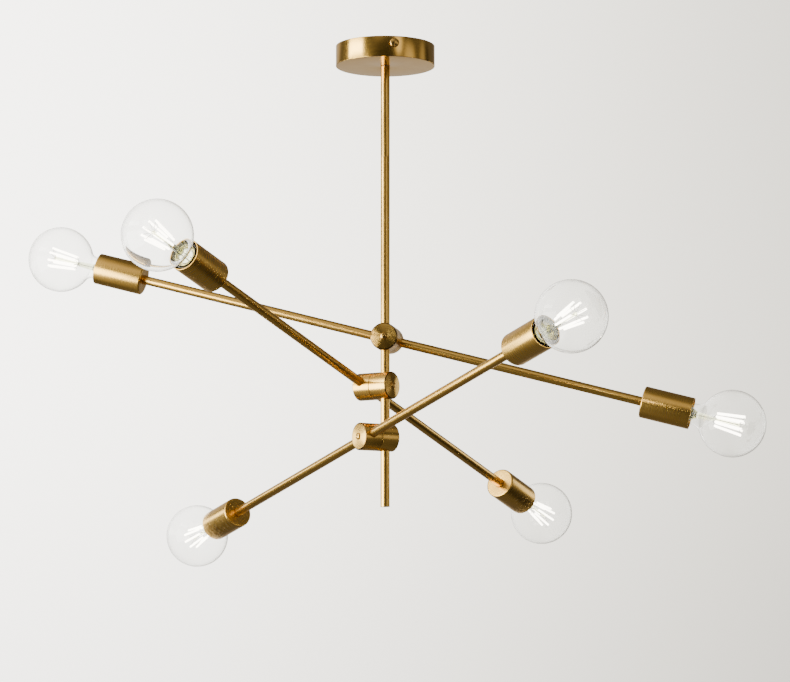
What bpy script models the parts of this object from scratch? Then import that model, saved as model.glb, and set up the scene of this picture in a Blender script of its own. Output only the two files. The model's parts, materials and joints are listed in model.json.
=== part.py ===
"""Adjustable six-light chandelier in antique brass.

A flat ceiling canopy carries one vertical stem. Three short horizontal hubs are clamped on the stem,
one below the other. Each hub is a pair of turned halves on a hollow pivot: the stem half swivels round
the stem, and the arm half, which holds a long straight arm crosswise, tilts about the hub's own axis.
Both ends of each arm carry a plain cup with a lamp holder and a clear globe lamp in it.

The origin is on the ceiling, at the centre of the canopy. +Z is up and -Y is the front.
"""

import math

import bmesh
import bpy

MM = 0.001
GAP = 0.3 * MM  # space left between pieces that touch

# Canopy and ceiling bracket
CANOPY_RADIUS = 60 * MM
CANOPY_HEIGHT = 25 * MM
CANOPY_WALL = 1.2 * MM
CANOPY_EDGE = 0.8 * MM
BRACKET_WIDTH = 20 * MM
BRACKET_THICKNESS = 2 * MM
BRACKET_REACH = 57 * MM
BRACKET_EAR_DROP = 14 * MM
BRACKET_BEND = 3 * MM
BRACKET_SLOT_LENGTH = 16 * MM
BRACKET_SLOT_WIDTH = 5 * MM
BRACKET_SLOT_CENTRE = 34 * MM
SIDE_SCREW_DROP = 8.5 * MM
SIDE_SCREW_AZIMUTH = math.radians(-80)
SIDE_SCREW_LENGTH = 8 * MM
EARTH_SCREW_PLACE = 14 * MM
EARTH_SCREW_HEAD_HEIGHT = 2 * MM
EARTH_SCREW_LENGTH = 1.6 * MM

# Stem
TUBE_RADIUS = 5.5 * MM
TUBE_BORE = 4.4 * MM
STEM_JOINT_DROP = 136.3 * MM
STEM_BOTTOM_DROP = 559.2 * MM
NIPPLE_RADIUS = 4 * MM
NIPPLE_BORE = 2.6 * MM
NIPPLE_TOP_DROP = 12 * MM
NIPPLE_BOTTOM_DROP = 44 * MM
COUPLER_HALF_LENGTH = 10.5 * MM
PLUG_LENGTH = 8 * MM
WASHER_RADIUS = 9 * MM
WASHER_THICKNESS = 1.2 * MM
NUT_ACROSS_FLATS = 13 * MM
NUT_THICKNESS = 5 * MM

# Hubs: (name, drop below the ceiling, azimuth of the arm, droop of its +X end)
HUBS = (
    ("top", 355.5 * MM, math.radians(-9.9), math.radians(14.7)),
    ("middle", 414.0 * MM, math.radians(55.8), math.radians(18.2)),
    ("lower", 476.5 * MM, math.radians(122.6), math.radians(13.7)),
)
HUB_RADIUS = 16.5 * MM
HUB_CHAMFER = 1 * MM
HUB_END = 11.5 * MM  # from a tube's axis to the nearer end face
ARM_OFFSET = 26.5 * MM  # between the stem's axis and the arm's axis
SPLIT_GAP = 0.4 * MM
CLAMP_BORE = 5.8 * MM
SPRING_WASHER_RADIUS = 8 * MM
SPRING_WASHER_THICKNESS = 0.7 * MM
SPRING_WASHER_POCKET = 1.1 * MM
WIRE_HOLE = 2.4 * MM

# Screws
SCREW_SHANK = 1.9 * MM
SCREW_CLEARANCE = 2.3 * MM
SCREW_TIP = 0.6 * MM
SCREW_HEAD_RADIUS = 4 * MM
SCREW_HEAD_HEIGHT = 2.2 * MM
SIDE_SCREW_HEAD_RADIUS = 5 * MM
SIDE_SCREW_HEAD_HEIGHT = 3 * MM
SCREW_SLOT_WIDTH = 1.1 * MM
SCREW_SLOT_DEPTH = 0.45  # of the head's height
SCREW_SLOT_TURN = math.radians(40)
SCREW_CROWN = ((0, 1), (0.62, 0.88), (0.92, 0.45))  # shares of the head's radius and height

# Arms and cups: distances along the arm from its middle
ARM_HALF_LENGTH = 332 * MM
CUP_BACK = 316 * MM
CUP_FRONT = 376 * MM
CUP_RADIUS = 19 * MM
CUP_WALL = 1.2 * MM
CUP_BACK_WALL = 1.5 * MM
CUP_EDGE = 1.8 * MM

# Lamp holder
HOLDER_FRONT = 372 * MM
HOLDER_RADIUS = 15.5 * MM
HOLDER_BORE = 13.5 * MM
HOLDER_FLOOR = 346.4 * MM

# Globe lamp
GLOBE_CENTRE = 425.4 * MM
GLOBE_RADIUS = 40 * MM
GLASS_WALL = 1 * MM
NECK_RADIUS = 13 * MM
NECK_FILLET = 12 * MM
NECK_END = 371.3 * MM
NECK_END_RADIUS = 12.2 * MM
BASE_RIM = 374.4 * MM
BASE_RADIUS = 13 * MM
BASE_SHELL_END = 356 * MM
BASE_TIP = 347.4 * MM
BASE_TIP_RADIUS = 4.5 * MM
POST_FOOT_RADIUS = 7 * MM
POST_FOOT_TOP = 380 * MM
POST_RADIUS = 2 * MM
POST_TOP = 440 * MM

TURN_FINE = 44
TURN_HUB = 28
TURN_CUP = 24
TURN_TUBE = 20
TURN_GLOBE = 16
TURN_BORE = 16
TURN_SMALL = 12
OUTER_RINGS = 7
INNER_RINGS = 5
FILLET_RINGS = 2

ALONG_Y = (-math.pi / 2, 0, 0)
ALONG_X = (0, math.pi / 2, 0)
ALONG_MINUS_X = (0, -math.pi / 2, 0)
UPRIGHT = (0, 0, 0)


# ---------------------------------------------------------------- scene, collections and materials


def clear_scene():
    """Removes every object of the open scene."""
    for old in list(bpy.data.objects):
        bpy.data.objects.remove(old, do_unlink=True)


def new_collection(name):
    """Returns a new collection linked to the scene."""
    collection = bpy.data.collections.new(name)
    bpy.context.scene.collection.children.link(collection)
    return collection


def make_material(name, color, roughness, metallic, transmission=0.0):
    """Returns a Principled material."""
    material = bpy.data.materials.new(name)
    material.use_nodes = True
    shader = material.node_tree.nodes["Principled BSDF"]
    shader.inputs["Base Color"].default_value = (*color, 1.0)
    shader.inputs["Roughness"].default_value = roughness
    shader.inputs["Metallic"].default_value = metallic
    shader.inputs["Transmission Weight"].default_value = transmission
    material.diffuse_color = (*color, 1.0)
    return material


clear_scene()
PIECES = new_collection("multi_arm_chandelier")
CUTTERS = new_collection("cutters")

BRASS = ((0.50, 0.34, 0.15), 0.32, 1.0)
STEEL = ((0.55, 0.55, 0.53), 0.40, 1.0)
GLASS = ((0.95, 0.96, 0.95), 0.02, 0.0, 1.0)
LAMP_METAL = ((0.62, 0.58, 0.42), 0.30, 1.0)
HOLDER_PLASTIC = ((0.06, 0.05, 0.045), 0.45, 0.0)


# ---------------------------------------------------------------- building tools


def add_object(name, data, collection, parent=None, location=(0, 0, 0), rotation=UPRIGHT):
    """Links an object for the data and places it under its parent."""
    obj = bpy.data.objects.new(name, data)
    collection.objects.link(obj)
    obj.parent = parent
    obj.location = location
    obj.rotation_euler = rotation
    return obj


def add_empty(name, parent=None, location=(0, 0, 0), rotation=UPRIGHT):
    """Adds an empty, which stands on a joint's axis."""
    return add_object(name, None, PIECES, parent, location, rotation)


def finish(obj, look):
    """Gives the piece its own material and smooth shading over its shallow edges."""
    obj.data.materials.append(make_material(obj.name + "_finish", *look))
    obj.data.shade_smooth()
    obj.data.set_sharp_from_angle(angle=math.radians(35))
    return obj


def turned(name, profile, look, segments, **place):
    """A profile of (radius, height) points turned about local Z.

    The points run down the outer side first. A profile that starts and ends on the axis is a solid;
    any other is closed into a ring by the segment from its last point to its first.
    """
    mesh = bpy.data.meshes.new(name)
    points = [(radius, 0.0, height) for radius, height in profile]
    edges = [(i, i + 1) for i in range(len(points) - 1)]
    if profile[0][0] > 0:
        edges.append((len(points) - 1, 0))
    mesh.from_pydata(points, edges, [])
    obj = add_object(name, mesh, PIECES, **place)
    screw = obj.modifiers.new("turn", "SCREW")
    screw.axis = "Z"
    screw.angle = math.tau
    screw.steps = segments
    screw.render_steps = segments
    screw.use_merge_vertices = True
    screw.merge_threshold = 0.00001
    screw.use_normal_calculate = False
    bake(obj)
    return finish(obj, look)


def bake(obj):
    """Turns the object's modifiers into its mesh."""
    depsgraph = bpy.context.evaluated_depsgraph_get()
    depsgraph.update()
    mesh = bpy.data.meshes.new_from_object(obj.evaluated_get(depsgraph))
    obj.modifiers.clear()
    obj.data = mesh
    mesh.name = obj.name


def tube(name, radius, bore, low, high, look, segments=TURN_TUBE, **place):
    """A plain tube between two heights on local Z."""
    ring = [(radius, high), (radius, low), (bore, low), (bore, high)]
    return turned(name, ring, look, segments, **place)


def cutter(name, mesh_builder, **place):
    """A cutter object, which is not one of the pieces."""
    mesh = bpy.data.meshes.new(name)
    shape = bmesh.new()
    mesh_builder(shape)
    shape.to_mesh(mesh)
    shape.free()
    obj = add_object(name, mesh, CUTTERS, **place)
    obj.hide_render = True
    obj.display_type = "WIRE"
    return obj


def round_cutter(name, radius, length, segments=TURN_SMALL, **place):
    """A cylinder centred on its place, along local Z."""

    def build(shape):
        bmesh.ops.create_cone(
            shape,
            cap_ends=True,
            segments=segments,
            radius1=radius,
            radius2=radius,
            depth=length,
        )

    return cutter(name, build, **place)


def box_cutter(name, size, **place):
    """A box centred on its place."""

    def build(shape):
        bmesh.ops.create_cube(shape, size=1.0)
        bmesh.ops.scale(shape, vec=size, verts=shape.verts)

    return cutter(name, build, **place)


def cut(obj, *cutters):
    """Subtracts each cutter from the piece."""
    for tool in cutters:
        boolean = obj.modifiers.new(tool.name, "BOOLEAN")
        boolean.operation = "DIFFERENCE"
        boolean.object = tool
    return obj


def screw_piece(name, head_radius, head_height, shank_length, look, place, segments=TURN_SMALL):
    """A round-headed slotted screw. Local Z = 0 is the seat, and its shank points down."""
    profile = [(across * head_radius, up * head_height) for across, up in SCREW_CROWN]
    profile += [
        (head_radius, GAP),
        (SCREW_SHANK, GAP),
        (SCREW_SHANK, SCREW_TIP - shank_length),
        (SCREW_SHANK - SCREW_TIP, -shank_length),
        (0, -shank_length),
    ]
    obj = turned(name, profile, look, segments, **place)
    slot_size = (3 * head_radius, SCREW_SLOT_WIDTH, 2 * SCREW_SLOT_DEPTH * head_height)
    slot = box_cutter(
        name + "_slot",
        slot_size,
        parent=obj,
        location=(0, 0, head_height),
        rotation=(0, 0, SCREW_SLOT_TURN),
    )
    return cut(obj, slot)


# ---------------------------------------------------------------- ceiling pieces


def ceiling_bracket():
    """A steel strap with two ears bent down, slotted for the ceiling screws and solid in its middle."""
    outer = BRACKET_REACH
    inner = BRACKET_REACH - BRACKET_THICKNESS
    bend = [(math.cos(a), math.sin(a)) for a in (math.radians(15 * k) for k in range(7))]
    right = [(outer, -BRACKET_EAR_DROP)]
    right += [
        (outer - BRACKET_BEND * (1 - c), -BRACKET_BEND * (1 - s)) for c, s in bend
    ]
    under = [
        (inner - (BRACKET_BEND - BRACKET_THICKNESS) * (1 - c),
         -BRACKET_THICKNESS - (BRACKET_BEND - BRACKET_THICKNESS) * (1 - s))
        for c, s in reversed(bend)
    ]
    under.append((inner, -BRACKET_EAR_DROP))
    half_outline = right + [(-x, z) for x, z in reversed(right)]
    half_outline += [(-x, z) for x, z in reversed(under)] + under
    outline = bpy.data.curves.new("ceiling_bracket", "CURVE")
    outline.dimensions = "2D"
    outline.fill_mode = "BOTH"
    outline.extrude = BRACKET_WIDTH / 2
    spline = outline.splines.new("POLY")
    spline.points.add(len(half_outline) - 1)
    for point, (x, z) in zip(spline.points, half_outline):
        point.co = (x, z, 0, 1)
    spline.use_cyclic_u = True
    obj = curve_to_mesh("ceiling_bracket", outline)
    obj.rotation_euler = (math.pi / 2, 0, SIDE_SCREW_AZIMUTH)
    finish(obj, STEEL)

    holes = []
    for side in (-1, 1):
        holes.append(
            box_cutter(
                f"bracket_slot_{side}",
                (BRACKET_SLOT_LENGTH, 4 * BRACKET_THICKNESS, BRACKET_SLOT_WIDTH),
                parent=obj,
                location=(side * BRACKET_SLOT_CENTRE, 0, 0),
            )
        )
        holes.append(
            round_cutter(
                f"bracket_ear_hole_{side}",
                SCREW_CLEARANCE,
                6 * BRACKET_THICKNESS,
                parent=obj,
                location=(side * (outer + inner) / 2, -SIDE_SCREW_DROP, 0),
                rotation=ALONG_X,
            )
        )
    holes.append(
        round_cutter(
            "bracket_earth_hole",
            SCREW_CLEARANCE,
            4 * BRACKET_THICKNESS,
            parent=obj,
            location=(EARTH_SCREW_PLACE, -BRACKET_THICKNESS / 2, 0),
            rotation=ALONG_Y,
        )
    )
    return cut(obj, *holes)


def curve_to_mesh(name, curve):
    """Replaces a curve by a welded mesh object of the same name."""
    source = add_object(name + "_curve", curve, PIECES)
    depsgraph = bpy.context.evaluated_depsgraph_get()
    depsgraph.update()
    mesh = bpy.data.meshes.new_from_object(source.evaluated_get(depsgraph))
    bpy.data.objects.remove(source, do_unlink=True)
    welded = bmesh.new()
    welded.from_mesh(mesh)
    bmesh.ops.remove_doubles(welded, verts=welded.verts, dist=0.00001)
    bmesh.ops.recalc_face_normals(welded, faces=welded.faces)
    welded.to_mesh(mesh)
    welded.free()
    mesh.name = name
    return add_object(name, mesh, PIECES)


def canopy():
    """The ceiling cover: a shallow pan, open to the ceiling, with a hole for the stem's nipple."""
    inner = CANOPY_RADIUS - CANOPY_WALL
    floor = CANOPY_WALL - CANOPY_HEIGHT
    edge = [
        (CANOPY_RADIUS - CANOPY_EDGE * (1 - math.cos(a)),
         -CANOPY_HEIGHT + CANOPY_EDGE * (1 - math.sin(a)))
        for a in (math.radians(30 * k) for k in range(4))
    ]
    profile = [(CANOPY_RADIUS, 0)] + edge
    profile += [(NIPPLE_RADIUS + GAP, -CANOPY_HEIGHT), (NIPPLE_RADIUS + GAP, floor)]
    profile += [(inner, floor), (inner, 0)]
    obj = turned("canopy", profile, BRASS, TURN_FINE)
    holes = [
        round_cutter(
            f"canopy_hole_{number}",
            SCREW_CLEARANCE,
            8 * CANOPY_WALL,
            location=around(SIDE_SCREW_AZIMUTH + turn, CANOPY_RADIUS, -SIDE_SCREW_DROP),
            rotation=(0, math.pi / 2, SIDE_SCREW_AZIMUTH + turn),
        )
        for number, turn in ((1, 0), (2, math.pi))
    ]
    return cut(obj, *holes)


def around(azimuth, radius, height):
    """A point at a radius from the stem's axis."""
    return (radius * math.cos(azimuth), radius * math.sin(azimuth), height)


def ceiling_group():
    """The pieces at the ceiling: bracket, canopy, their screws, and what clamps the stem's nipple."""
    ceiling_bracket()
    canopy()
    for name, turn in (("side_screw_front", 0), ("side_screw_rear", math.pi)):
        azimuth = SIDE_SCREW_AZIMUTH + turn
        place = {
            "location": around(azimuth, CANOPY_RADIUS, -SIDE_SCREW_DROP),
            "rotation": (0, math.pi / 2, azimuth),
        }
        screw_piece(
            name,
            SIDE_SCREW_HEAD_RADIUS,
            SIDE_SCREW_HEAD_HEIGHT,
            SIDE_SCREW_LENGTH,
            BRASS,
            place,
        )
    earth_place = {
        "location": around(SIDE_SCREW_AZIMUTH, EARTH_SCREW_PLACE, -BRACKET_THICKNESS),
        "rotation": (math.pi, 0, 0),
    }
    screw_piece(
        "earth_screw",
        SCREW_HEAD_RADIUS,
        EARTH_SCREW_HEAD_HEIGHT,
        EARTH_SCREW_LENGTH,
        BRASS,
        earth_place,
    )

    floor = CANOPY_WALL - CANOPY_HEIGHT
    washer_low = floor + GAP
    washer_high = washer_low + WASHER_THICKNESS
    nut_low = washer_high + GAP
    bore = NIPPLE_RADIUS + GAP
    tube("stem_nipple", NIPPLE_RADIUS, NIPPLE_BORE, -NIPPLE_BOTTOM_DROP, -NIPPLE_TOP_DROP, STEEL)
    tube("stem_washer", WASHER_RADIUS, bore, washer_low, washer_high, STEEL)
    corner = NUT_ACROSS_FLATS / 2 / math.cos(math.radians(30))
    nut_top = nut_low + NUT_THICKNESS
    hexagon = [(0, nut_top), (corner, nut_top), (corner, nut_low), (0, nut_low)]
    nut = turned("stem_nut", hexagon, STEEL, 6)
    cut(
        nut,
        round_cutter("nut_bore", bore, 3 * NUT_THICKNESS, segments=TURN_TUBE, location=(0, 0, nut_low)),
    )


# ---------------------------------------------------------------- stem


def stem_group():
    """Two lengths of tube joined by an inner coupler, with a plug in the bottom end."""
    tube(
        "upper_stem",
        TUBE_RADIUS,
        TUBE_BORE,
        GAP / 2 - STEM_JOINT_DROP,
        -CANOPY_HEIGHT - GAP,
        BRASS,
    )
    tube(
        "stem_coupler",
        NIPPLE_RADIUS,
        NIPPLE_BORE,
        -STEM_JOINT_DROP - COUPLER_HALF_LENGTH,
        -STEM_JOINT_DROP + COUPLER_HALF_LENGTH,
        STEEL,
    )
    lower = tube(
        "lower_stem",
        TUBE_RADIUS,
        TUBE_BORE,
        -STEM_BOTTOM_DROP,
        -STEM_JOINT_DROP - GAP / 2,
        BRASS,
    )
    for name, drop, azimuth, _ in HUBS:
        hub_side = azimuth + math.pi / 2
        hole = round_cutter(
            f"{name}_stem_wire_hole",
            WIRE_HOLE,
            TUBE_RADIUS,
            location=around(hub_side, TUBE_RADIUS, -drop),
            rotation=(0, math.pi / 2, hub_side),
        )
        cut(lower, hole)
    plug_radius = TUBE_BORE - GAP
    plug = [
        (0, PLUG_LENGTH - STEM_BOTTOM_DROP),
        (plug_radius, PLUG_LENGTH - STEM_BOTTOM_DROP),
        (plug_radius, -STEM_BOTTOM_DROP),
        (0, -STEM_BOTTOM_DROP),
    ]
    turned("stem_plug", plug, BRASS, TURN_TUBE)


# ---------------------------------------------------------------- hubs


def hub_half(name, end, split, pocket, place, tube_rotation, tube_at):
    """One turned half of a hub, along local Z from its end face to the split with the other half.

    The axial hole takes the clamp screw at the end face and the hollow pivot at the split.
    """
    inward = 1 if split > end else -1
    pivot_bore = NIPPLE_RADIUS + GAP
    outline = [
        (SCREW_CLEARANCE, end),
        (HUB_RADIUS - HUB_CHAMFER, end),
        (HUB_RADIUS, end + inward * HUB_CHAMFER),
        (HUB_RADIUS, split),
    ]
    if pocket:
        rim = SPRING_WASHER_RADIUS + GAP
        pocket_floor = split - inward * SPRING_WASHER_POCKET
        outline += [(rim, split), (rim, pocket_floor), (pivot_bore, pocket_floor)]
    else:
        outline.append((pivot_bore, split))
    outline += [(pivot_bore, tube_at), (SCREW_CLEARANCE, tube_at)]
    if inward > 0:
        outline.reverse()
    half = turned(name, outline, BRASS, TURN_HUB, **place)
    bore = round_cutter(
        name + "_bore",
        CLAMP_BORE,
        3 * HUB_RADIUS,
        segments=TURN_BORE,
        parent=half,
        location=(0, 0, tube_at),
        rotation=tube_rotation,
    )
    return cut(half, bore)


def hub(name, swivel, tilt):
    """A hub: its stem half on the swivel, its arm half on the tilt, and the pivot between them."""
    split = ARM_OFFSET / 2
    along_hub = {"location": (0, 0, 0), "rotation": ALONG_Y}
    on_swivel = {"parent": swivel, **along_hub}
    on_tilt = {"parent": tilt, **along_hub}
    hub_half(
        f"{name}_hub_stem_half",
        -HUB_END,
        split - SPLIT_GAP / 2,
        False,
        on_swivel,
        ALONG_Y,
        0,
    )
    hub_half(
        f"{name}_hub_arm_half",
        ARM_OFFSET + HUB_END,
        split + SPLIT_GAP / 2,
        True,
        on_tilt,
        ALONG_X,
        ARM_OFFSET,
    )
    clear = CLAMP_BORE + GAP / 3
    tube(
        f"{name}_hub_pivot",
        NIPPLE_RADIUS,
        NIPPLE_BORE,
        clear,
        ARM_OFFSET - clear,
        STEEL,
        TURN_SMALL,
        **on_swivel,
    )
    washer_low = split + SPLIT_GAP / 2 + GAP / 3
    tube(
        f"{name}_hub_washer",
        SPRING_WASHER_RADIUS,
        NIPPLE_RADIUS + GAP,
        washer_low,
        washer_low + SPRING_WASHER_THICKNESS,
        STEEL,
        TURN_TUBE,
        **on_tilt,
    )
    shank = HUB_END - TUBE_RADIUS - GAP
    stem_screw = {
        "parent": swivel,
        "location": (0, -HUB_END, 0),
        "rotation": (math.pi / 2, 0, 0),
    }
    arm_screw = {
        "parent": tilt,
        "location": (0, ARM_OFFSET + HUB_END, 0),
        "rotation": ALONG_Y,
    }
    for end, place in (("stem", stem_screw), ("arm", arm_screw)):
        screw_piece(
            f"{name}_hub_{end}_screw",
            SCREW_HEAD_RADIUS,
            SCREW_HEAD_HEIGHT,
            shank,
            BRASS,
            place,
        )


# ---------------------------------------------------------------- arms and lamps


def arm_tube(name, tilt):
    """The straight arm through the hub's arm half, with a side hole for its wires."""
    arm = tube(
        f"{name}_arm",
        TUBE_RADIUS,
        TUBE_BORE,
        -ARM_HALF_LENGTH,
        ARM_HALF_LENGTH,
        BRASS,
        parent=tilt,
        location=(0, ARM_OFFSET, 0),
        rotation=ALONG_X,
    )
    hole = round_cutter(
        f"{name}_arm_wire_hole",
        WIRE_HOLE,
        TUBE_RADIUS,
        parent=tilt,
        location=(0, ARM_OFFSET - TUBE_RADIUS, 0),
        rotation=ALONG_Y,
    )
    return cut(arm, hole)


def cup(name, place):
    """The plain cup, closed at its back round the arm and open at its front."""
    inner = CUP_RADIUS - CUP_WALL
    floor = CUP_BACK + CUP_BACK_WALL
    hole = TUBE_RADIUS + GAP
    edge = [
        (CUP_RADIUS - CUP_EDGE * (1 - math.cos(a)), CUP_BACK + CUP_EDGE * (1 - math.sin(a)))
        for a in (math.radians(45 * k) for k in range(3))
    ]
    profile = [(CUP_RADIUS, CUP_FRONT)] + edge
    profile += [(hole, CUP_BACK), (hole, floor), (inner, floor), (inner, CUP_FRONT)]
    return turned(name, profile, BRASS, TURN_CUP, **place)


def holder(name, place):
    """The lamp holder: a screw socket in front, and a bore behind it for the end of the arm."""
    tube_bore = TUBE_RADIUS + GAP
    back = CUP_BACK + CUP_BACK_WALL + GAP
    arm_stop = ARM_HALF_LENGTH + GAP
    profile = [
        (HOLDER_RADIUS, HOLDER_FRONT),
        (HOLDER_RADIUS, back),
        (tube_bore, back),
        (tube_bore, arm_stop),
        (WIRE_HOLE, arm_stop),
        (WIRE_HOLE, HOLDER_FLOOR),
        (HOLDER_BORE, HOLDER_FLOOR),
        (HOLDER_BORE, HOLDER_FRONT),
    ]
    return turned(name, profile, HOLDER_PLASTIC, TURN_GLOBE, **place)


def glass_profile(wall, rings):
    """The lamp's outline from its pole to its neck, moved inwards by a wall thickness."""
    radius = GLOBE_RADIUS - wall
    fillet = NECK_FILLET + wall
    neck = NECK_RADIUS - wall
    fillet_drop = math.sqrt((radius + fillet) ** 2 - (neck + fillet) ** 2)
    meet = math.atan2(neck + fillet, -fillet_drop)
    points = []
    for ring in range(rings + 1):
        a = meet * ring / rings
        points.append((radius * math.sin(a), GLOBE_CENTRE + radius * math.cos(a)))
    for ring in range(1, FILLET_RINGS + 1):
        a = (meet - math.pi / 2) * (1 - ring / FILLET_RINGS)
        points.append(
            (neck + fillet - fillet * math.cos(a), GLOBE_CENTRE - fillet_drop + fillet * math.sin(a))
        )
    points[0] = (0, GLOBE_CENTRE + radius)
    return points


def globe_glass(name, place):
    """The clear envelope, open at the end of its neck."""
    outer = glass_profile(0, OUTER_RINGS)
    outer += [(NECK_END_RADIUS, BASE_RIM + GAP), (NECK_END_RADIUS, NECK_END)]
    inner = glass_profile(GLASS_WALL, INNER_RINGS)
    inner_end = NECK_END_RADIUS - GLASS_WALL
    inner += [(inner_end, BASE_RIM + GAP), (inner_end, NECK_END)]
    inner.reverse()
    return turned(name, outer + inner, GLASS, TURN_GLOBE, **place)


def lamp_base(name, place):
    """The lamp's screw base, with the glass foot and post that hold its filament."""
    seat = NECK_END - GAP
    rim = NECK_END_RADIUS + GAP
    profile = [
        (0, POST_TOP),
        (POST_RADIUS, POST_TOP),
        (POST_RADIUS, POST_FOOT_TOP),
        (POST_FOOT_RADIUS, seat),
        (rim, seat),
        (rim, BASE_RIM),
        (BASE_RADIUS, BASE_RIM),
        (BASE_RADIUS, BASE_SHELL_END),
        (BASE_TIP_RADIUS, BASE_TIP),
        (0, BASE_TIP),
    ]
    return turned(name, profile, LAMP_METAL, TURN_GLOBE, **place)


def lamp(name, tilt, outward):
    """A cup with its lamp holder and globe lamp at one end of an arm."""
    place = {"parent": tilt, "location": (0, ARM_OFFSET, 0), "rotation": outward}
    cup(f"{name}_cup", place)
    holder(f"{name}_holder", place)
    globe_glass(f"{name}_globe", place)
    lamp_base(f"{name}_lamp_base", place)


def tier(name, drop, azimuth, droop):
    """One hub with its arm and its two lamps."""
    swivel = add_empty(f"{name}_swivel_axis", location=(0, 0, -drop), rotation=(0, 0, azimuth))
    tilt = add_empty(f"{name}_tilt_axis", parent=swivel, rotation=(0, droop, 0))
    hub(name, swivel, tilt)
    arm_tube(name, tilt)
    lamp(f"{name}_a", tilt, ALONG_X)
    lamp(f"{name}_b", tilt, ALONG_MINUS_X)


ceiling_group()
stem_group()
for hub_values in HUBS:
    tier(*hub_values)
bpy.context.view_layer.update()
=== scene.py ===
"""Looks for the multi arm chandelier: antique brass, clear globe lamps, a pale plain studio."""

import json
import math

import bmesh
import bpy
from mathutils import Matrix, Vector


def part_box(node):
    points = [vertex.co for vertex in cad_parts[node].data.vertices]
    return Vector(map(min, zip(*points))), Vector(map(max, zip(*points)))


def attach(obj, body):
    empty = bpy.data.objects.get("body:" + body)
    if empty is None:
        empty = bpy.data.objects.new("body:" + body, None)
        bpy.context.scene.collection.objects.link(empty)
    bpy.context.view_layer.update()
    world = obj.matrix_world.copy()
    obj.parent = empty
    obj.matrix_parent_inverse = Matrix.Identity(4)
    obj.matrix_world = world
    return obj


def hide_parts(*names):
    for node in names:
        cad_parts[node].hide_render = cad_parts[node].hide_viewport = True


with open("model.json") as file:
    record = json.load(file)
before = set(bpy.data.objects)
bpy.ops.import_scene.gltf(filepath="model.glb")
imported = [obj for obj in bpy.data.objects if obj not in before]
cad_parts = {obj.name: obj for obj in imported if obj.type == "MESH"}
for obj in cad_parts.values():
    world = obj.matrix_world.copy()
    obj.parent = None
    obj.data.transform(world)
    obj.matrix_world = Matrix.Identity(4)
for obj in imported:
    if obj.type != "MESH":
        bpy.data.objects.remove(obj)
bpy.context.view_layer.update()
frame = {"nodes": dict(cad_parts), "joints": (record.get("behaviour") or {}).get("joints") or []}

MM = 0.001
TAU = math.tau
NODES = frame["nodes"]
JOINTS = {joint["name"]: joint for joint in frame["joints"]}
TIERS = ("top", "middle", "lower")

# Photo camera: metres, degrees, and the lens in millimetres
CAMERA_PLACE = Vector((0.0, -3.4616, -0.7652))
CAMERA_PITCH = 6.674
CAMERA_YAW = 0.195
CAMERA_LENS = 132.4

UP = Vector((0, 0, 1))
EAST = Vector((1, 0, 0))
ORIGIN = Vector((0, 0, 0))
IDENTITY = Matrix.Identity(4)

# Segments round a turned piece, by its size, and the angle from which an edge is shaded sharp
CANOPY_SEGMENTS = 256
FINE = 128
ROUND = 96
SMALL = 48
SHARP_EDGE = math.radians(32)

# Sizes that aren't read from the CAD nodes; FACE_DEPTH is how far down a hub half's end face
# and rim the face's own material goes
CANOPY_WALL = 1.2 * MM
SIDE_HOLE_RADIUS = 2.3 * MM
SCREW_SHANK_RADIUS = 1.9 * MM
SCREW_PITCH = 0.7 * MM
SCREW_THREAD_DEPTH = 0.28 * MM
SCREW_SLOT_WIDTH = 1.2 * MM
SCREW_SLOT_TURN = 0.7
HUB_BORE_RADIUS = 4.2 * MM
HUB_SCREW_HOLE_RADIUS = 2.2 * MM
HUB_CROSS_HOLE_RADIUS = 5.75 * MM
FACE_SLOPE = math.radians(8.0)
FACE_RIM = 1.1 * MM
FACE_DEPTH = 2.2 * MM
# Radius outside which a hub's end face is painted dark: painted shade for the dark surroundings its
# rounded rim reflects
PAINTED_RIM_SHADE_RADIUS = 14.9 * MM
CUP_WALL = 1.2 * MM
CUP_FLOOR = 1.5 * MM
CUP_EDGE = 1.8 * MM
GLOBE_RADIUS = 40 * MM
GLOBE_WALL = 1.0 * MM
NECK_RADIUS = 13 * MM
NECK_FILLET = 12 * MM
NECK_END_RADIUS = 12.2 * MM
CAP_HEIGHT = 27 * MM
CAP_PITCH = 3.6 * MM
FILAMENTS = 8
FILAMENT_RADIUS = 1.3 * MM
WIRE_RADIUS = 0.3 * MM
LEAD_RADIUS = 0.35 * MM

# Base colours of the brass
BRASS_LIGHT = (0.82, 0.50, 0.125)
BRASS_DARK = (0.74, 0.43, 0.095)
# Painted shade: the dark colour painted in a ring round the rim of each hub's end face, where the
# rounding reflects dark surroundings
BRASS_PAINTED_RIM_SHADE = (0.16, 0.09, 0.03)

# Studio, in metres
BACKDROP_RADIUS = 9.0
WINDOW_DISTANCE = 1.5
WINDOW_COLOR = (0.98, 1.0, 0.90)
ROOM_COLOR = (1.0, 0.95, 0.86, 1.0)
# Panes of the window: name, middle azimuth, azimuth to each side, low and high edge, radiance
WINDOW_PANES = (
    ("low_pane", -66, 28, -1.05, -0.12, 12.0),
    ("rear_low_pane", -114, 19, -0.5, -0.27, 5.5),
    ("far_lamp", 128, 9, -0.54, -0.1, 2.4),
    ("window_bar", -66, 26, -0.12, 0.19, 0.8),
    ("high_pane", -72, 19, 0.18, 0.44, 15.0),
    ("upper_pane", -72, 19, 0.44, 1.1, 3.2),
)
# The dim room round the lamp: azimuth, elevation, inner and outer angle, radiance added
ROOM_BASE = 0.13
ROOM_GLOWS = (
    (-12, 42, 8, 28, 0.65),
    (-75, 55, 10, 36, 0.85),
    (31, 15, 3, 12, 1.6),
    (58, 3, 5, 18, 0.8),
    (72, 50, 8, 26, 0.2),
    (104, -8, 6, 16, 0.25),
    (97, 6, 4, 13, 0.4),
    (-150, 22, 6, 26, 0.6),
    (180, 0, 16, 30, 0.5),
    (-85, -40, 6, 26, 0.35),
)
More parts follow.
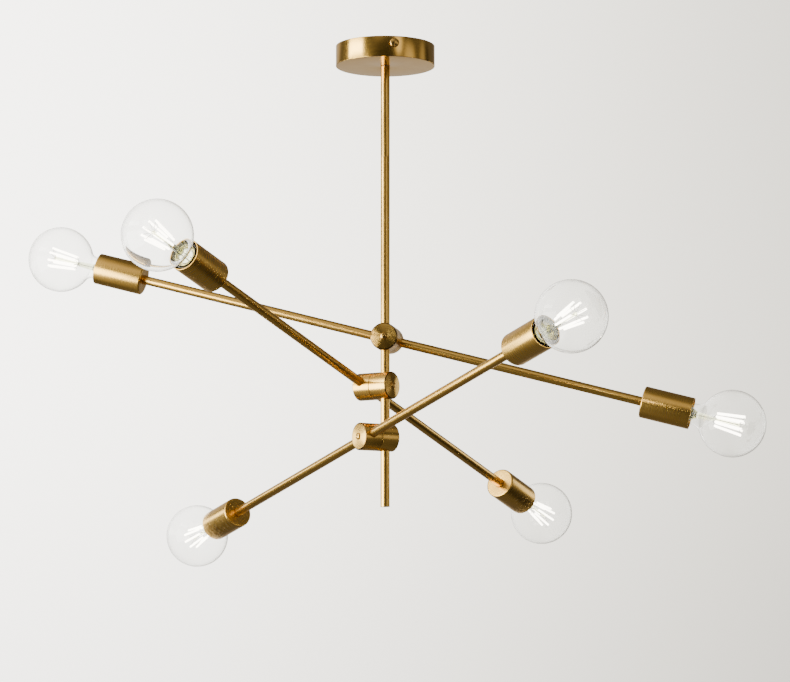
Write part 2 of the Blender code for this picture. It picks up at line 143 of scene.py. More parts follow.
# Darker parts of it: azimuth, elevation, inner and outer angle, share taken away
ROOM_SHADES = (
    (108, -28, 14, 32, 0.75),
    (-5, -22, 18, 45, 0.45),
    (0, 0, 14, 30, 0.55),
    (112, 6, 4, 13, 0.7),
    (62, 27, 7, 18, 0.6),
    (-112, -34, 8, 24, 0.5),
)


# ---------------------------------------------------------------- reading the frame


def points_of(node):
    """The vertices of a CAD node at rest."""
    return [v.co.copy() for v in NODES[node].data.vertices]


def span(node, origin, axis):
    """Least and greatest distance of a node's points along an axis from an origin."""
    along = [(p - origin).dot(axis) for p in points_of(node)]
    return min(along), max(along)


def radii(node, origin, axis):
    """Least and greatest distance of a node's points from an axis."""
    found = []
    for p in points_of(node):
        d = p - origin
        found.append((d - axis * d.dot(axis)).length)
    return min(found), max(found)


def middle(node):
    """The centre of a node's box."""
    low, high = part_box(node)
    return (low + high) / 2


def axes_matrix(origin, z_axis, x_axis):
    """A placement whose local Z and X run along the two given directions."""
    z = z_axis.normalized()
    y = z.cross(x_axis).normalized()
    x = y.cross(z)
    return Matrix.Translation(origin) @ Matrix((x, y, z)).transposed().to_4x4()


# ---------------------------------------------------------------- mesh tools


def mesh_of(name, shape):
    """A new mesh from a bmesh, which is freed."""
    mesh = bpy.data.meshes.new(name)
    shape.to_mesh(mesh)
    shape.free()
    return mesh


def linked(name, data):
    """A new object in the scene with the given data."""
    obj = bpy.data.objects.new(name, data)
    bpy.context.scene.collection.objects.link(obj)
    return obj


def new_piece(name, shape, matrix, body, material, replaced=()):
    """Makes an object from a bmesh, places it, and lets it ride on its body."""
    mesh = mesh_of(name, shape)
    mesh.shade_smooth()
    mesh.set_sharp_from_angle(angle=SHARP_EDGE)
    mesh.materials.append(material)
    obj = linked(name, mesh)
    obj.matrix_world = matrix
    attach(obj, body)
    if replaced:
        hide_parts(*replaced)
    return obj


def softened(profile, radius, closed=False, steps=4):
    """The profile with each of its corners rounded to a radius."""
    out = []
    count = len(profile)
    for i, here in enumerate(profile):
        end = not closed and i in (0, count - 1)
        here = Vector(here)
        before = Vector(profile[i - 1]) - here
        after = Vector(profile[(i + 1) % count]) - here
        if end or before.length < 1e-9 or after.length < 1e-9:
            out.append(here)
            continue
        angle = before.angle(after)
        if not math.radians(5) <= angle <= math.radians(165):
            out.append(here)  # too flat or too sharp to round
            continue
        reach = min(radius / math.tan(angle / 2), 0.45 * before.length, 0.45 * after.length)
        start = here + before.normalized() * reach
        stop = here + after.normalized() * reach
        for k in range(steps + 1):
            t = k / steps  # along the curve that the corner pulls towards itself
            out.append(start * (1 - t) ** 2 + here * 2 * t * (1 - t) + stop * t * t)
    return [(p[0], p[1]) for p in out]


def turn(profile, segments=ROUND, closed=False):
    """A bmesh of a (radius, height) profile turned about Z."""
    shape = bmesh.new()
    rings = []
    for radius, height in profile:
        if radius < 1e-7:
            rings.append([shape.verts.new((0, 0, height))])
            continue
        angles = [TAU * k / segments for k in range(segments)]
        rings.append(
            [shape.verts.new((radius * math.cos(a), radius * math.sin(a), height)) for a in angles]
        )
    pairs = list(zip(rings, rings[1:]))
    if closed:
        pairs.append((rings[-1], rings[0]))
    for upper, lower in pairs:
        for k in range(segments):
            n = (k + 1) % segments
            if len(upper) == 1 and len(lower) == 1:
                continue  # two points on the axis make no face
            if len(upper) == 1:
                shape.faces.new((upper[0], lower[k], lower[n]))
            elif len(lower) == 1:
                shape.faces.new((upper[k], lower[0], upper[n]))
            else:
                shape.faces.new((upper[k], lower[k], lower[n], upper[n]))
    bmesh.ops.recalc_face_normals(shape, faces=shape.faces)
    return shape


def drill(obj, radius, length, matrix, segments=SMALL):
    """Cuts a round hole through a piece."""
    shape = bmesh.new()
    bmesh.ops.create_cone(
        shape, cap_ends=True, segments=segments, radius1=radius, radius2=radius, depth=length
    )
    subtract(obj, shape, matrix)


def subtract(obj, shape, matrix):
    """Cuts a bmesh out of a piece and keeps the result as its mesh."""
    tool = linked("tool", mesh_of("tool", shape))
    tool.matrix_world = matrix
    boolean = obj.modifiers.new("cut", "BOOLEAN")
    boolean.operation = "DIFFERENCE"
    boolean.object = tool
    bpy.context.view_layer.update()
    depsgraph = bpy.context.evaluated_depsgraph_get()
    result = bpy.data.meshes.new_from_object(obj.evaluated_get(depsgraph))
    obj.modifiers.clear()
    obj.data = result
    result.set_sharp_from_angle(angle=SHARP_EDGE)
    bpy.data.objects.remove(tool, do_unlink=True)


# ---------------------------------------------------------------- materials


def shader_tree(name):
    """A new material with its tree and its Principled shader."""
    material = bpy.data.materials.new(name)
    material.use_nodes = True
    tree = material.node_tree
    return material, tree, tree.nodes["Principled BSDF"]


def noise(tree, coordinates, scale, detail, roughness):
    """A noise texture on the given coordinates."""
    node = tree.nodes.new("ShaderNodeTexNoise")
    node.inputs["Scale"].default_value = scale
    node.inputs["Detail"].default_value = detail
    node.inputs["Roughness"].default_value = roughness
    tree.links.new(coordinates, node.inputs["Vector"])
    return node.outputs["Fac"]


def ramp(tree, value, stops):
    """A colour ramp through (position, colour) stops."""
    node = tree.nodes.new("ShaderNodeValToRGB")
    elements = node.color_ramp.elements
    while len(elements) < len(stops):
        elements.new(0.5)
    for element, (position, color) in zip(elements, stops):
        element.position = position
        element.color = (*color, 1.0)
    tree.links.new(value, node.inputs["Fac"])
    return node.outputs["Color"]


def mapped(tree, value, low, high, from_low=0.3, from_high=0.7, kind="LINEAR"):
    """The value moved from one range to another, evenly or by a smooth step."""
    node = tree.nodes.new("ShaderNodeMapRange")
    node.interpolation_type = kind
    node.inputs["From Min"].default_value = from_low
    node.inputs["From Max"].default_value = from_high
    node.inputs["To Min"].default_value = low
    node.inputs["To Max"].default_value = high
    tree.links.new(value, node.inputs["Value"])
    return node.outputs["Result"]


def object_coordinates(tree, scale=(1, 1, 1)):
    """Object coordinates, stretched by a scale on each axis."""
    source = tree.nodes.new("ShaderNodeTexCoord")
    mapping = tree.nodes.new("ShaderNodeMapping")
    mapping.inputs["Scale"].default_value = scale
    tree.links.new(source.outputs["Object"], mapping.inputs["Vector"])
    return mapping.outputs["Vector"]


def bump(tree, shader, height, strength, distance):
    """A bump from a height value."""
    node = tree.nodes.new("ShaderNodeBump")
    node.inputs["Strength"].default_value = strength
    node.inputs["Distance"].default_value = distance
    tree.links.new(height, node.inputs["Height"])
    tree.links.new(node.outputs["Normal"], shader.inputs["Normal"])


def antique_brass(name, grain, anisotropy, roughness, light=None, dark=None, rim=None):
    """Satin antique brass: a faint patina, and a fine grain left by turning or drawing.

    grain is the stretch of the grain's noise on each local axis. The sheen spreads across the
    grooves, which run round local Z.
    """
    material, tree, shader = shader_tree(name)
    patina = noise(tree, object_coordinates(tree), 26.0, 5.0, 0.6)
    color = ramp(tree, patina, [(0.30, dark or BRASS_DARK), (0.70, light or BRASS_LIGHT)])
    # rim, when given, is the radius outside which a ring of painted shade goes on
    if rim:
        color = painted_rim_shade(tree, color, rim)
    tree.links.new(color, shader.inputs["Base Color"])
    lines = noise(tree, object_coordinates(tree, grain), 1.0, 4.0, 0.65)
    tree.links.new(
        mapped(tree, lines, roughness - 0.025, roughness + 0.025), shader.inputs["Roughness"]
    )
    shader.inputs["Metallic"].default_value = 1.0
    shader.inputs["Anisotropic"].default_value = anisotropy
    shader.inputs["Anisotropic Rotation"].default_value = 0.25
    tangent = tree.nodes.new("ShaderNodeTangent")
    tangent.direction_type = "RADIAL"
    tangent.axis = "Z"
    tree.links.new(tangent.outputs["Tangent"], shader.inputs["Tangent"])
    return material


def painted_rim_shade(tree, color, radius):
    """The colour painted dark in a ring outside a radius from local Z: painted shade for the dark
    surroundings that a hub end face's rounded rim reflects.
    """
    flat = object_coordinates(tree, (1, 1, 0))
    length = tree.nodes.new("ShaderNodeVectorMath")
    length.operation = "LENGTH"
    tree.links.new(flat, length.inputs[0])
    share = mapped(tree, length.outputs["Value"], 0.0, 1.0, radius, radius + 0.5 * MM)
    mix = tree.nodes.new("ShaderNodeMix")
    mix.data_type = "RGBA"
    first, second = [socket for socket in mix.inputs if socket.type == "RGBA"]
    tree.links.new(share, mix.inputs[0])
    tree.links.new(color, first)
    second.default_value = (*BRASS_PAINTED_RIM_SHADE, 1.0)
    return next(socket for socket in mix.outputs if socket.type == "RGBA")


def plated_steel(name):
    """Dull zinc plating with a faint spangle."""
    material, tree, shader = shader_tree(name)
    spangle = noise(tree, object_coordinates(tree), 420.0, 3.0, 0.5)
    color = ramp(tree, spangle, [(0.3, (0.42, 0.42, 0.40)), (0.7, (0.66, 0.66, 0.63))])
    tree.links.new(color, shader.inputs["Base Color"])
    tree.links.new(mapped(tree, spangle, 0.30, 0.48), shader.inputs["Roughness"])
    bump(tree, shader, spangle, 0.15, 0.0001)
    shader.inputs["Metallic"].default_value = 1.0
    return material


def moulded_plastic(name, light, dark):
    """Heat-proof moulding with a fine even texture."""
    material, tree, shader = shader_tree(name)
    pebble = noise(tree, object_coordinates(tree), 900.0, 2.0, 0.5)
    color = ramp(tree, pebble, [(0.35, dark), (0.65, light)])
    tree.links.new(color, shader.inputs["Base Color"])
    tree.links.new(mapped(tree, pebble, 0.38, 0.52), shader.inputs["Roughness"])
    bump(tree, shader, pebble, 0.2, 0.0001)
    return material


def clear_glass(name, tint):
    """Clear blown glass with a barely visible waviness, its colour painted darker where it turns
    edge-on: painted shade that draws the glass's grey outline.
    """
    material, tree, shader = shader_tree(name)
    facing = tree.nodes.new("ShaderNodeLayerWeight")
    facing.inputs["Blend"].default_value = 0.5
    # Painted shade: the tint falls to a darker copy where the glass is seen edge-on, drawing its
    # outline
    edge = tuple(0.68 * c for c in tint)
    color = ramp(tree, facing.outputs["Facing"], [(0.62, tint), (0.93, edge)])
    tree.links.new(color, shader.inputs["Base Color"])
    shader.inputs["Roughness"].default_value = 0.0
    shader.inputs["IOR"].default_value = 1.45
    shader.inputs["Transmission Weight"].default_value = 1.0
    wave = noise(tree, object_coordinates(tree), 30.0, 1.0, 0.4)
    bump(tree, shader, wave, 0.05, 0.0003)
    return material


def glowing(name, color, strength):
    """A lit filament, a little uneven along its length."""
    material, tree, shader = shader_tree(name)
    beads = noise(tree, object_coordinates(tree), 600.0, 2.0, 0.5)
    tree.links.new(
        ramp(tree, beads, [(0.3, tuple(0.92 * c for c in color)), (0.7, color)]),
        shader.inputs["Emission Color"],
    )
    shader.inputs["Base Color"].default_value = (*color, 1.0)
    shader.inputs["Emission Strength"].default_value = strength
    return material


TUBE_BRASS = antique_brass("brass_drawn_tube", (500, 500, 30), 0.1, 0.28)
TURNED_BRASS = antique_brass("brass_turned", (40, 40, 1400), 0.4, 0.27)
# The hub end faces' brass, with a ring of painted shade round the rim
FACE_BRASS = antique_brass(
    "brass_turned_face", (900, 900, 900), 0.95, 0.22, rim=PAINTED_RIM_SHADE_RADIUS
)
CUP_BRASS = antique_brass("brass_cup", (60, 60, 900), 0.1, 0.28)
CANOPY_BRASS = antique_brass("brass_canopy", (60, 60, 900), 0.0, 0.19)
# The screws' brass has a darker base colour than the rest: painted shade for the dark surroundings
# their small heads reflect
SCREW_BRASS = antique_brass(
    "brass_screw", (500, 500, 500), 0.1, 0.25, (0.70, 0.42, 0.12), (0.55, 0.33, 0.09)
)
STEEL = plated_steel("zinc_plating")
HOLDER = moulded_plastic("holder_moulding", (0.075, 0.06, 0.05), (0.035, 0.03, 0.026))
CAP_METAL = antique_brass(
    "lamp_cap_metal", (60, 60, 500), 0.2, 0.25, (0.66, 0.60, 0.30), (0.48, 0.43, 0.20)
)
INSULATOR = moulded_plastic("cap_insulator", (0.04, 0.04, 0.05), (0.015, 0.015, 0.02))
GLOBE_GLASS = clear_glass("globe_glass", (0.985, 0.99, 0.985))
STEM_GLASS = clear_glass("stem_glass", (0.86, 0.89, 0.66))
WIRE = plated_steel("support_wire")
GLOW = glowing("lit_filament", (1.0, 0.93, 0.80), 22.0)


# ---------------------------------------------------------------- screws


def slotted_screw(node, seat, outward, body):
    """A round-headed brass screw with a slot and a threaded shank, seated on what it holds."""
    head_radius = radii(node, seat, outward)[1]
    tip, head_height = span(node, seat, outward)
    outline = [
        (head_radius * math.sin(a), head_height * (0.25 + 0.75 * math.cos(a)))
        for a in (math.radians(90 * k / 10) for k in range(11))
    ]
    chamfer = 0.12 * MM
    outline += [(head_radius, chamfer), (head_radius - chamfer, 0.0), (SCREW_SHANK_RADIUS, 0.0)]
    for k in range(int(-tip / SCREW_PITCH)):
        outline.append((SCREW_SHANK_RADIUS, -(k + 0.25) * SCREW_PITCH))
        outline.append((SCREW_SHANK_RADIUS - SCREW_THREAD_DEPTH, -(k + 0.75) * SCREW_PITCH))
    outline.append((0, tip))
    matrix = axes_matrix(seat, outward, outward.orthogonal())
    shape = turn(outline, SMALL)
    obj = new_piece(
        f"{node}_turned", shape, matrix, body, SCREW_BRASS, [node]
    )
    slot_shape = bmesh.new()
    bmesh.ops.create_cube(slot_shape, size=1.0)
    slot_size = (4 * head_radius, SCREW_SLOT_WIDTH, head_height)
    bmesh.ops.scale(slot_shape, vec=slot_size, verts=slot_shape.verts)
    above = Matrix.Translation((0, 0, 1.05 * head_height))
    subtract(obj, slot_shape, matrix @ above @ Matrix.Rotation(SCREW_SLOT_TURN, 4, "Z"))


# ---------------------------------------------------------------- canopy and stem


def ceiling_pieces():
    """The canopy, its two screws and the pieces hidden in it."""
    hole, canopy_radius = radii("canopy", ORIGIN, UP)
    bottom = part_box("canopy")[0].z
    inner = canopy_radius - CANOPY_WALL
    profile = [
        (canopy_radius, 0),
        (canopy_radius, bottom),
        (hole, bottom),
        (hole, bottom + CANOPY_WALL),
        (inner, bottom + CANOPY_WALL),
        (inner, 0),
    ]
    shape = turn(softened(profile, 0.5 * MM, closed=True), CANOPY_SEGMENTS, closed=True)
    canopy = new_piece(
        "canopy_shell", shape, IDENTITY, "root", CANOPY_BRASS, ["canopy"]
    )
    for node in ("side_screw_front", "side_screw_rear"):
        centre = middle(node)
        outward = Vector((centre.x, centre.y, 0)).normalized()
        seat = outward * (canopy_radius + 0.1 * MM) + UP * centre.z
        drill(canopy, SIDE_HOLE_RADIUS, 12 * MM, axes_matrix(seat, outward, UP))
        slotted_screw(node, seat, outward, "root")
    for node in ("ceiling_bracket", "stem_washer", "stem_nut", "stem_nipple", "stem_coupler"):
        finish_cad(node, STEEL)
    finish_cad("earth_screw", SCREW_BRASS)


def finish_cad(node, material):
    """Gives a CAD node that isn't replaced a procedural finish and a small bevel."""
    obj = NODES[node]
    obj.data.materials.clear()
    obj.data.materials.append(material)
    bevel = obj.modifiers.new("edge", "BEVEL")
    bevel.width = 0.25 * MM
    bevel.segments = 2
    bevel.limit_method = "ANGLE"
    bevel.angle_limit = math.radians(50)


def tube_piece(name, node, origin, axis, side, body, material):
    """A drawn tube that stands for a CAD tube, with eased ends."""
    low, high = span(node, origin, axis)
    bore, outer = radii(node, origin, axis)
    profile = [(outer, high), (outer, low), (bore, low), (bore, high)]
    shape = turn(softened(profile, 0.25 * MM, closed=True), FINE, closed=True)
    matrix = axes_matrix(origin, axis, side)
    new_piece(name, shape, matrix, body, material, [node])


def stem_pieces():
    """The stem's two tubes and the plug in its end."""
    tube_piece("upper_stem_tube", "upper_stem", ORIGIN, UP, EAST, "root", TUBE_BRASS)
    tube_piece("lower_stem_tube", "lower_stem", ORIGIN, UP, EAST, "root", TUBE_BRASS)
    low, high = span("stem_plug", ORIGIN, UP)
    outer = radii("stem_plug", ORIGIN, UP)[1]
    profile = [(0, high), (outer, high), (outer, low), (0.35 * outer, low), (0, low + 0.6 * MM)]
    shape = turn(softened(profile, 0.3 * MM), SMALL)
    new_piece(
        "stem_end_plug", shape, IDENTITY, "root", TURNED_BRASS, ["stem_plug"]
    )


# ---------------------------------------------------------------- hubs


def hub_pieces(tier, centre, hub_axis, arm_axis):
    """Both turned halves of a hub with their clamp screws."""
    matrix = axes_matrix(centre, hub_axis, arm_axis)
    for part, body, through in (
        ("stem", f"{tier}_hub", UP),
        ("arm", f"{tier}_arm_pair", arm_axis),
    ):
        node = f"{tier}_hub_{part}_half"
        low, high = span(node, centre, hub_axis)
        outer = radii(node, centre, hub_axis)[1]
        end, split = (low, high) if part == "stem" else (high, low)
        inward = 1 if split > end else -1
        middle_of_bore = centre if part == "stem" else arm_centre(tier)
        bore_at = (middle_of_bore - centre).dot(hub_axis)
        profile = crowned_end(HUB_SCREW_HOLE_RADIUS, outer, end, inward)
        profile += softened(
            [
                (outer, end + inward * 4 * MM),
                (outer, split),
                (HUB_BORE_RADIUS, split),
                (HUB_BORE_RADIUS, bore_at),
                (HUB_SCREW_HOLE_RADIUS, bore_at),
                (HUB_SCREW_HOLE_RADIUS, end + inward * MM),
            ],
            0.45 * MM,
        )
        shape = turn(profile, FINE, closed=True)
        half = new_piece(
            f"{node}_turned", shape, matrix, body, TURNED_BRASS, [node]
        )
        half.data.materials.append(FACE_BRASS)
        place = axes_matrix(middle_of_bore, through, hub_axis)
        drill(half, HUB_CROSS_HOLE_RADIUS, 60 * MM, place, ROUND)
        paint_end_face(half, end)
        seat = centre + hub_axis * end
        slotted_screw(f"{tier}_hub_{part}_screw", seat, -hub_axis * inward, body)
    finish_cad(f"{tier}_hub_pivot", STEEL)
    finish_cad(f"{tier}_hub_washer", STEEL)


def crowned_end(hole, outer, end, inward):
    """The outline of a slightly crowned end face and its rounded rim, from the hole outwards."""
    rim = outer - FACE_RIM
    sine, cosine = math.sin(FACE_SLOPE), math.cos(FACE_SLOPE)
    points = []
    for k in range(13):
        radius = hole + (rim - hole) * k / 12
        sink = radius * radius / (2 * rim) * math.tan(FACE_SLOPE)
        points.append((radius, end + inward * sink))
    depth = abs(points[-1][1] - end)
    for k in range(1, 8):
        turned = FACE_SLOPE + (math.pi / 2 - FACE_SLOPE) * k / 7
        radius = rim + FACE_RIM * (math.sin(turned) - sine) / (1 - sine)
        sink = depth + FACE_RIM * (cosine - math.cos(turned))
        points.append((radius, end + inward * sink))
    return points


def paint_end_face(half, end):
    """Gives the end face of a hub half and its rim the second material, with its turned rings."""
    for polygon in half.data.polygons:
        facing = abs(polygon.normal.z) > 0.15
        near_end = abs(polygon.center.z - end) < FACE_DEPTH
        polygon.material_index = 1 if facing and near_end else 0


# ---------------------------------------------------------------- arms, cups and lamps


def arm_centre(tier):
    """The middle of an arm, halfway between its two lamp holders."""
    return (middle(f"{tier}_a_holder") + middle(f"{tier}_b_holder")) / 2


def arm_direction(tier):
    """The direction of an arm, towards its lamp a."""
    return (middle(f"{tier}_a_holder") - middle(f"{tier}_b_holder")).normalized()


def cup_piece(name, node, matrix, body, origin, axis):
    """The plain cup with its thin rolled rim and its rounded shoulder."""
    back, front = span(node, origin, axis)
    hole, outer = radii(node, origin, axis)
    inner = outer - CUP_WALL
    shoulder = [
        (outer - CUP_EDGE * (1 - math.cos(a)), back + CUP_EDGE * (1 - math.sin(a)))
        for a in (math.radians(10 * k) for k in range(10))
    ]
    profile = [
        (outer, front),
        *shoulder,
        (hole, back),
        (hole, back + CUP_FLOOR),
        (inner, back + CUP_FLOOR),
        (inner, front),
    ]
    shape = turn(softened(profile, 0.45 * MM, closed=True, steps=5), FINE, closed=True)
    new_piece(name, shape, matrix, body, CUP_BRASS, [node])


def holder_piece(name, node, matrix, body, origin, axis):
    """The lamp holder: a dark moulded sleeve with a ribbed front ring."""
    back, front = span(node, origin, axis)
    outer = radii(node, origin, axis)[1]
    socket, tube_bore, wire_hole = 13.5 * MM, 5.8 * MM, 2.4 * MM
    stop, floor = back + 14.5 * MM, back + 28.6 * MM
    groove = outer - 0.5 * MM
    outline = [(outer, front), (outer, front - 5 * MM)]
    for k in range(4):
        top = front - (6 + 2 * k) * MM
        outline += [(groove, top), (groove, top - 0.8 * MM), (outer, top - 1.0 * MM)]
    outline += [(outer, back), (tube_bore, back), (tube_bore, stop), (wire_hole, stop)]
    outline += [(wire_hole, floor), (socket, floor), (socket, front)]
    shape = turn(softened(outline, 0.3 * MM, closed=True, steps=3), ROUND, closed=True)
    new_piece(name, shape, matrix, body, HOLDER, [node])


def globe_outline(centre, end, wall):
    """A globe's surface, a wall's depth in, from its pole through the fillet to the neck's end."""
    radius, neck, fillet = GLOBE_RADIUS - wall, NECK_RADIUS - wall, NECK_FILLET + wall
    end_radius = NECK_END_RADIUS - wall
    drop = math.sqrt((radius + fillet) ** 2 - (neck + fillet) ** 2)
    meet = math.atan2(neck + fillet, -drop)
    angles = [meet * k / 40 for k in range(41)]
    points = [(radius * math.sin(a), centre + radius * math.cos(a)) for a in angles]
    points[0] = (0.0, centre + radius)
    for k in range(1, 13):
        a = (meet - math.pi / 2) * (1 - k / 12)
        points.append((neck + fillet - fillet * math.cos(a), centre - drop + fillet * math.sin(a)))
    points += [(end_radius, end + 3.5 * MM), (end_radius, end)]
    return points


def globe_piece(name, node, matrix, body, origin, axis):
    """The blown globe of two surfaces that meet at the neck's end; gives its centre's height."""
    end, pole = span(node, origin, axis)
    centre = pole - GLOBE_RADIUS
    outer = globe_outline(centre, end, 0.0)
    inner = globe_outline(centre, end, GLOBE_WALL)
    shape = turn(outer + inner[::-1], ROUND)
    new_piece(name, shape, matrix, body, GLOBE_GLASS, [node])
    return centre


def cap_piece(name, node, matrix, body, origin, axis):
    """The lamp's cap with rolled thread, black insulator and contact; gives its rim's height."""
    tip = span(node, origin, axis)[0]
    rim = tip + CAP_HEIGHT
    recess, lip = rim - 3.2 * MM, 12.45 * MM
    thread_top = rim - 4 * MM
    profile = [(0, recess), (lip, recess), (lip, rim), (13 * MM, rim), (13 * MM, thread_top)]
    for k in range(32):
        swell = 0.5 - 0.5 * math.cos(TAU * k / 8)
        profile.append((12.0 * MM + 0.95 * MM * swell, thread_top - CAP_PITCH * k / 8))
    shell_end = thread_top - 4 * CAP_PITCH
    profile += [(11.8 * MM, shell_end), (9 * MM, shell_end - 1.2 * MM), (0, shell_end - 1.2 * MM)]
    new_piece(name, turn(profile, ROUND), matrix, body, CAP_METAL, [node])
    top, foot = shell_end - 1.3 * MM, tip + 1.2 * MM
    cone = turn(softened([(0, top), (8.6 * MM, top), (4.6 * MM, foot), (0, foot)], 0.4 * MM), SMALL)
    new_piece(name + "_insulator", cone, matrix, body, INSULATOR)
    top, edge = tip + 1.1 * MM, tip + 0.3 * MM
    button = softened([(0, top), (4.2 * MM, top), (3.6 * MM, edge), (0, tip)], 0.3 * MM)
    new_piece(name + "_contact", turn(button, SMALL), matrix, body, CAP_METAL)
    return rim


def rod(shape, start, stop, radius, sides=8):
    """Adds a round rod between two points to a bmesh."""
    direction = stop - start
    matrix = axes_matrix((start + stop) / 2, direction, direction.orthogonal())
    bmesh.ops.create_cone(
        shape,
        cap_ends=True,
        segments=sides,
        radius1=radius,
        radius2=radius,
        depth=direction.length,
        matrix=matrix,
    )


def filament_pieces(name, matrix, body, rim, centre):
    """The lamp's inside: glass foot and post, lead wires, and a cage of lit filaments."""
    rear, front = centre - 20 * MM, centre + 13 * MM
    rear_radius, front_radius = 8 * MM, 12 * MM
    foot = [
        (0, centre + 9 * MM),
        (2.6 * MM, centre + 8 * MM),
        (1.7 * MM, centre + 4 * MM),
        (1.7 * MM, rear - 2 * MM),
        (3.0 * MM, rear - 5 * MM),
        (4.0 * MM, rim + 8 * MM),
        (8.0 * MM, rim + 1 * MM),
        (9.0 * MM, rim - 3 * MM),
        (0, rim - 3 * MM),
    ]
    post = turn(softened(foot, 1.2 * MM), SMALL)
    new_piece(name + "_glass_post", post, matrix, body, STEM_GLASS)
    lit, wires = bmesh.new(), bmesh.new()
    for k in range(FILAMENTS):
        a = TAU * (k + 0.5) / FILAMENTS
        out = Vector((math.cos(a), math.sin(a), 0))
        start = out * rear_radius + UP * rear
        stop = out * front_radius + UP * front
        at_post = out * 1.6 * MM
        rod(lit, start, stop, FILAMENT_RADIUS, 12)
        rod(wires, at_post + UP * (rear - 3 * MM), start, WIRE_RADIUS)
        rod(wires, at_post + UP * (front - 5 * MM), stop, WIRE_RADIUS)
    for side in (-1, 1):
        low = Vector((side * 2.2 * MM, 0, rim - 2 * MM))
        high = Vector((side * 1.4 * MM, 0, rear - 3 * MM))
        rod(wires, low, high, LEAD_RADIUS)
    strands = new_piece(name + "_filaments", lit, matrix, body, GLOW)
    strands.visible_glossy = False
    strands.visible_diffuse = False
    new_piece(name + "_wires", wires, matrix, body, WIRE)


def arm_pieces(tier):
    """One arm with everything on it."""
    origin, axis = arm_centre(tier), arm_direction(tier)
    hub_axis = Vector(JOINTS[f"{tier}_tilt"]["axis"])
    body = f"{tier}_arm_pair"
    tube_piece(f"{tier}_arm_tube", f"{tier}_arm", origin, axis, hub_axis, body, TUBE_BRASS)
    for end, outward in (("a", axis), ("b", -axis)):
        place = axes_matrix(origin, outward, hub_axis), body, origin, outward
        lamp = f"{tier}_{end}"
        cup_piece(f"{lamp}_cup_turned", f"{lamp}_cup", *place)
        holder_piece(f"{lamp}_holder_moulded", f"{lamp}_holder", *place)
        centre = globe_piece(f"{lamp}_globe_blown", f"{lamp}_globe", *place)
        rim = cap_piece(f"{lamp}_cap", f"{lamp}_lamp_base", *place)
        filament_pieces(f"{lamp}_lamp", place[0], body, rim, centre)


def tier_pieces(tier):
    """One hub with its arm."""
    centre = Vector(JOINTS[f"{tier}_tilt"]["pos_m"])
    hub_axis = Vector(JOINTS[f"{tier}_tilt"]["axis"]).normalized()
    hub_pieces(tier, centre, hub_axis, arm_direction(tier))
    arm_pieces(tier)


# ---------------------------------------------------------------- studio


def toward(azimuth, elevation):
    """The direction at an azimuth from the camera's side, positive to the right, and a height."""
    a, e = math.radians(azimuth), math.radians(elevation)
    return Vector((math.sin(a) * math.cos(e), -math.cos(a) * math.cos(e), math.sin(e)))


def calc(tree, operation, *values):
    """A math node on sockets or numbers."""
    node = tree.nodes.new("ShaderNodeMath")
    node.operation = operation
    for socket, value in zip(node.inputs, values):
        if isinstance(value, (int, float)):
            socket.default_value = value
        else:
            tree.links.new(value, socket)
    return node.outputs["Value"]


def smooth_step(tree, value, start, stop, low, high):
    """The value mapped smoothly from start..stop to low..high."""
    return mapped(tree, value, low, high, start, stop, "SMOOTHSTEP")


def glow(tree, direction, azimuth, elevation, inner, outer, strength):
    """A soft round patch of the room, full inside one angle and gone outside another."""
    dot = tree.nodes.new("ShaderNodeVectorMath")
    dot.operation = "DOT_PRODUCT"
    dot.inputs[1].default_value = toward(azimuth, elevation)
    tree.links.new(direction, dot.inputs[0])
    edges = math.cos(math.radians(outer)), math.cos(math.radians(inner))
    return smooth_step(tree, dot.outputs["Value"], *edges, 0.0, strength)


def room():
    """The dim warm room: what the metal and the glass reflect beside the lights."""
    world = bpy.data.worlds.new("dim_room")
    bpy.context.scene.world = world
    world.use_nodes = True
    tree = world.node_tree
    direction = tree.nodes.new("ShaderNodeTexCoord").outputs["Generated"]
    total = ROOM_BASE
    for patch in ROOM_GLOWS:
        total = calc(tree, "ADD", glow(tree, direction, *patch), total)
    for patch in ROOM_SHADES:
        total = calc(
            tree, "MULTIPLY", total, calc(tree, "SUBTRACT", 1.0, glow(tree, direction, *patch))
        )
    background = tree.nodes["Background"]
    background.inputs["Color"].default_value = ROOM_COLOR
    tree.links.new(total, background.inputs["Strength"])


def studio():
    """A pale backdrop all round, the dim room and the soft lights."""
    room()
    shape = bmesh.new()
    bmesh.ops.create_uvsphere(shape, u_segments=96, v_segments=48, radius=BACKDROP_RADIUS)
    backdrop = stage_piece("backdrop", shape, backdrop_paper())
    backdrop.visible_diffuse = False
    backdrop.visible_glossy = False
    backdrop.visible_shadow = False
    for pane in WINDOW_PANES:
        soft_light(*pane)


def stage_piece(name, shape, material):
    """An object of the studio, which isn't part of the chandelier."""
    mesh = mesh_of(name, shape)
    mesh.materials.append(material)
    obj = linked(name, mesh)
    return obj


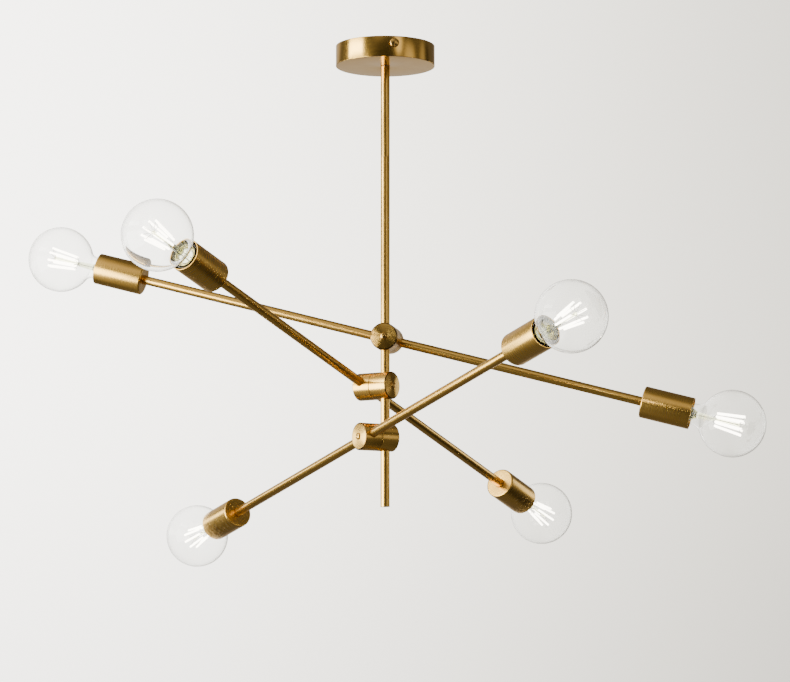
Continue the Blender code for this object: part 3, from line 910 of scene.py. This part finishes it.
def backdrop_paper():
    """Warm white paper lit from the left."""
    material = bpy.data.materials.new("backdrop_paper")
    material.use_nodes = True
    tree = material.node_tree
    tree.nodes.clear()
    output = tree.nodes.new("ShaderNodeOutputMaterial")
    emission = tree.nodes.new("ShaderNodeEmission")
    parts = tree.nodes.new("ShaderNodeSeparateXYZ")
    tree.links.new(tree.nodes.new("ShaderNodeTexCoord").outputs["Object"], parts.inputs["Vector"])
    # Painted light and shade: the glow is painted brighter to the left, a little darker towards the
    # bottom and warmer to the right, as if the paper were lit from the left
    across = smooth_step(tree, parts.outputs["X"], -2.6, 2.6, 6.2, 1.7)
    down = smooth_step(tree, parts.outputs["Z"], -1.2, 0.9, 0.74, 1.0)
    tree.links.new(calc(tree, "MULTIPLY", across, down), emission.inputs["Strength"])
    warmth = smooth_step(tree, parts.outputs["X"], -2.0, 2.0, 0.0, 1.0)
    tree.links.new(
        ramp(tree, warmth, [(0.0, (1.0, 0.965, 0.90)), (1.0, (1.0, 0.95, 0.83))]),
        emission.inputs["Color"],
    )
    tree.links.new(emission.outputs["Emission"], output.inputs["Surface"])
    material.cycles.emission_sampling = "NONE"
    return material


def soft_light(name, azimuth, half_angle, low, high, radiance):
    """An upright soft light on a circle round the stem, facing it."""
    width = 2 * WINDOW_DISTANCE * math.tan(math.radians(half_angle))
    light = bpy.data.lights.new(name, "AREA")
    light.shape = "RECTANGLE"
    light.size = width
    light.size_y = high - low
    light.energy = radiance * math.pi * width * (high - low)
    light.color = WINDOW_COLOR
    obj = linked(name, light)
    out = toward(azimuth, 0)
    obj.location = out * WINDOW_DISTANCE + UP * (low + high) / 2
    obj.rotation_euler = out.to_track_quat("Z", "Y").to_euler()
    obj.visible_camera = False
    obj.visible_transmission = False


def photo_camera():
    """The camera, a little below the hubs and looking slightly up."""
    data = bpy.data.cameras.new("photo_camera")
    data.lens = CAMERA_LENS
    data.clip_end = 100
    camera = linked("photo_camera", data)
    camera.location = CAMERA_PLACE
    camera.rotation_euler = (math.radians(90 + CAMERA_PITCH), 0, math.radians(-CAMERA_YAW))
    bpy.context.scene.camera = camera


ceiling_pieces()
stem_pieces()
for tier_name in TIERS:
    tier_pieces(tier_name)
studio()
photo_camera()
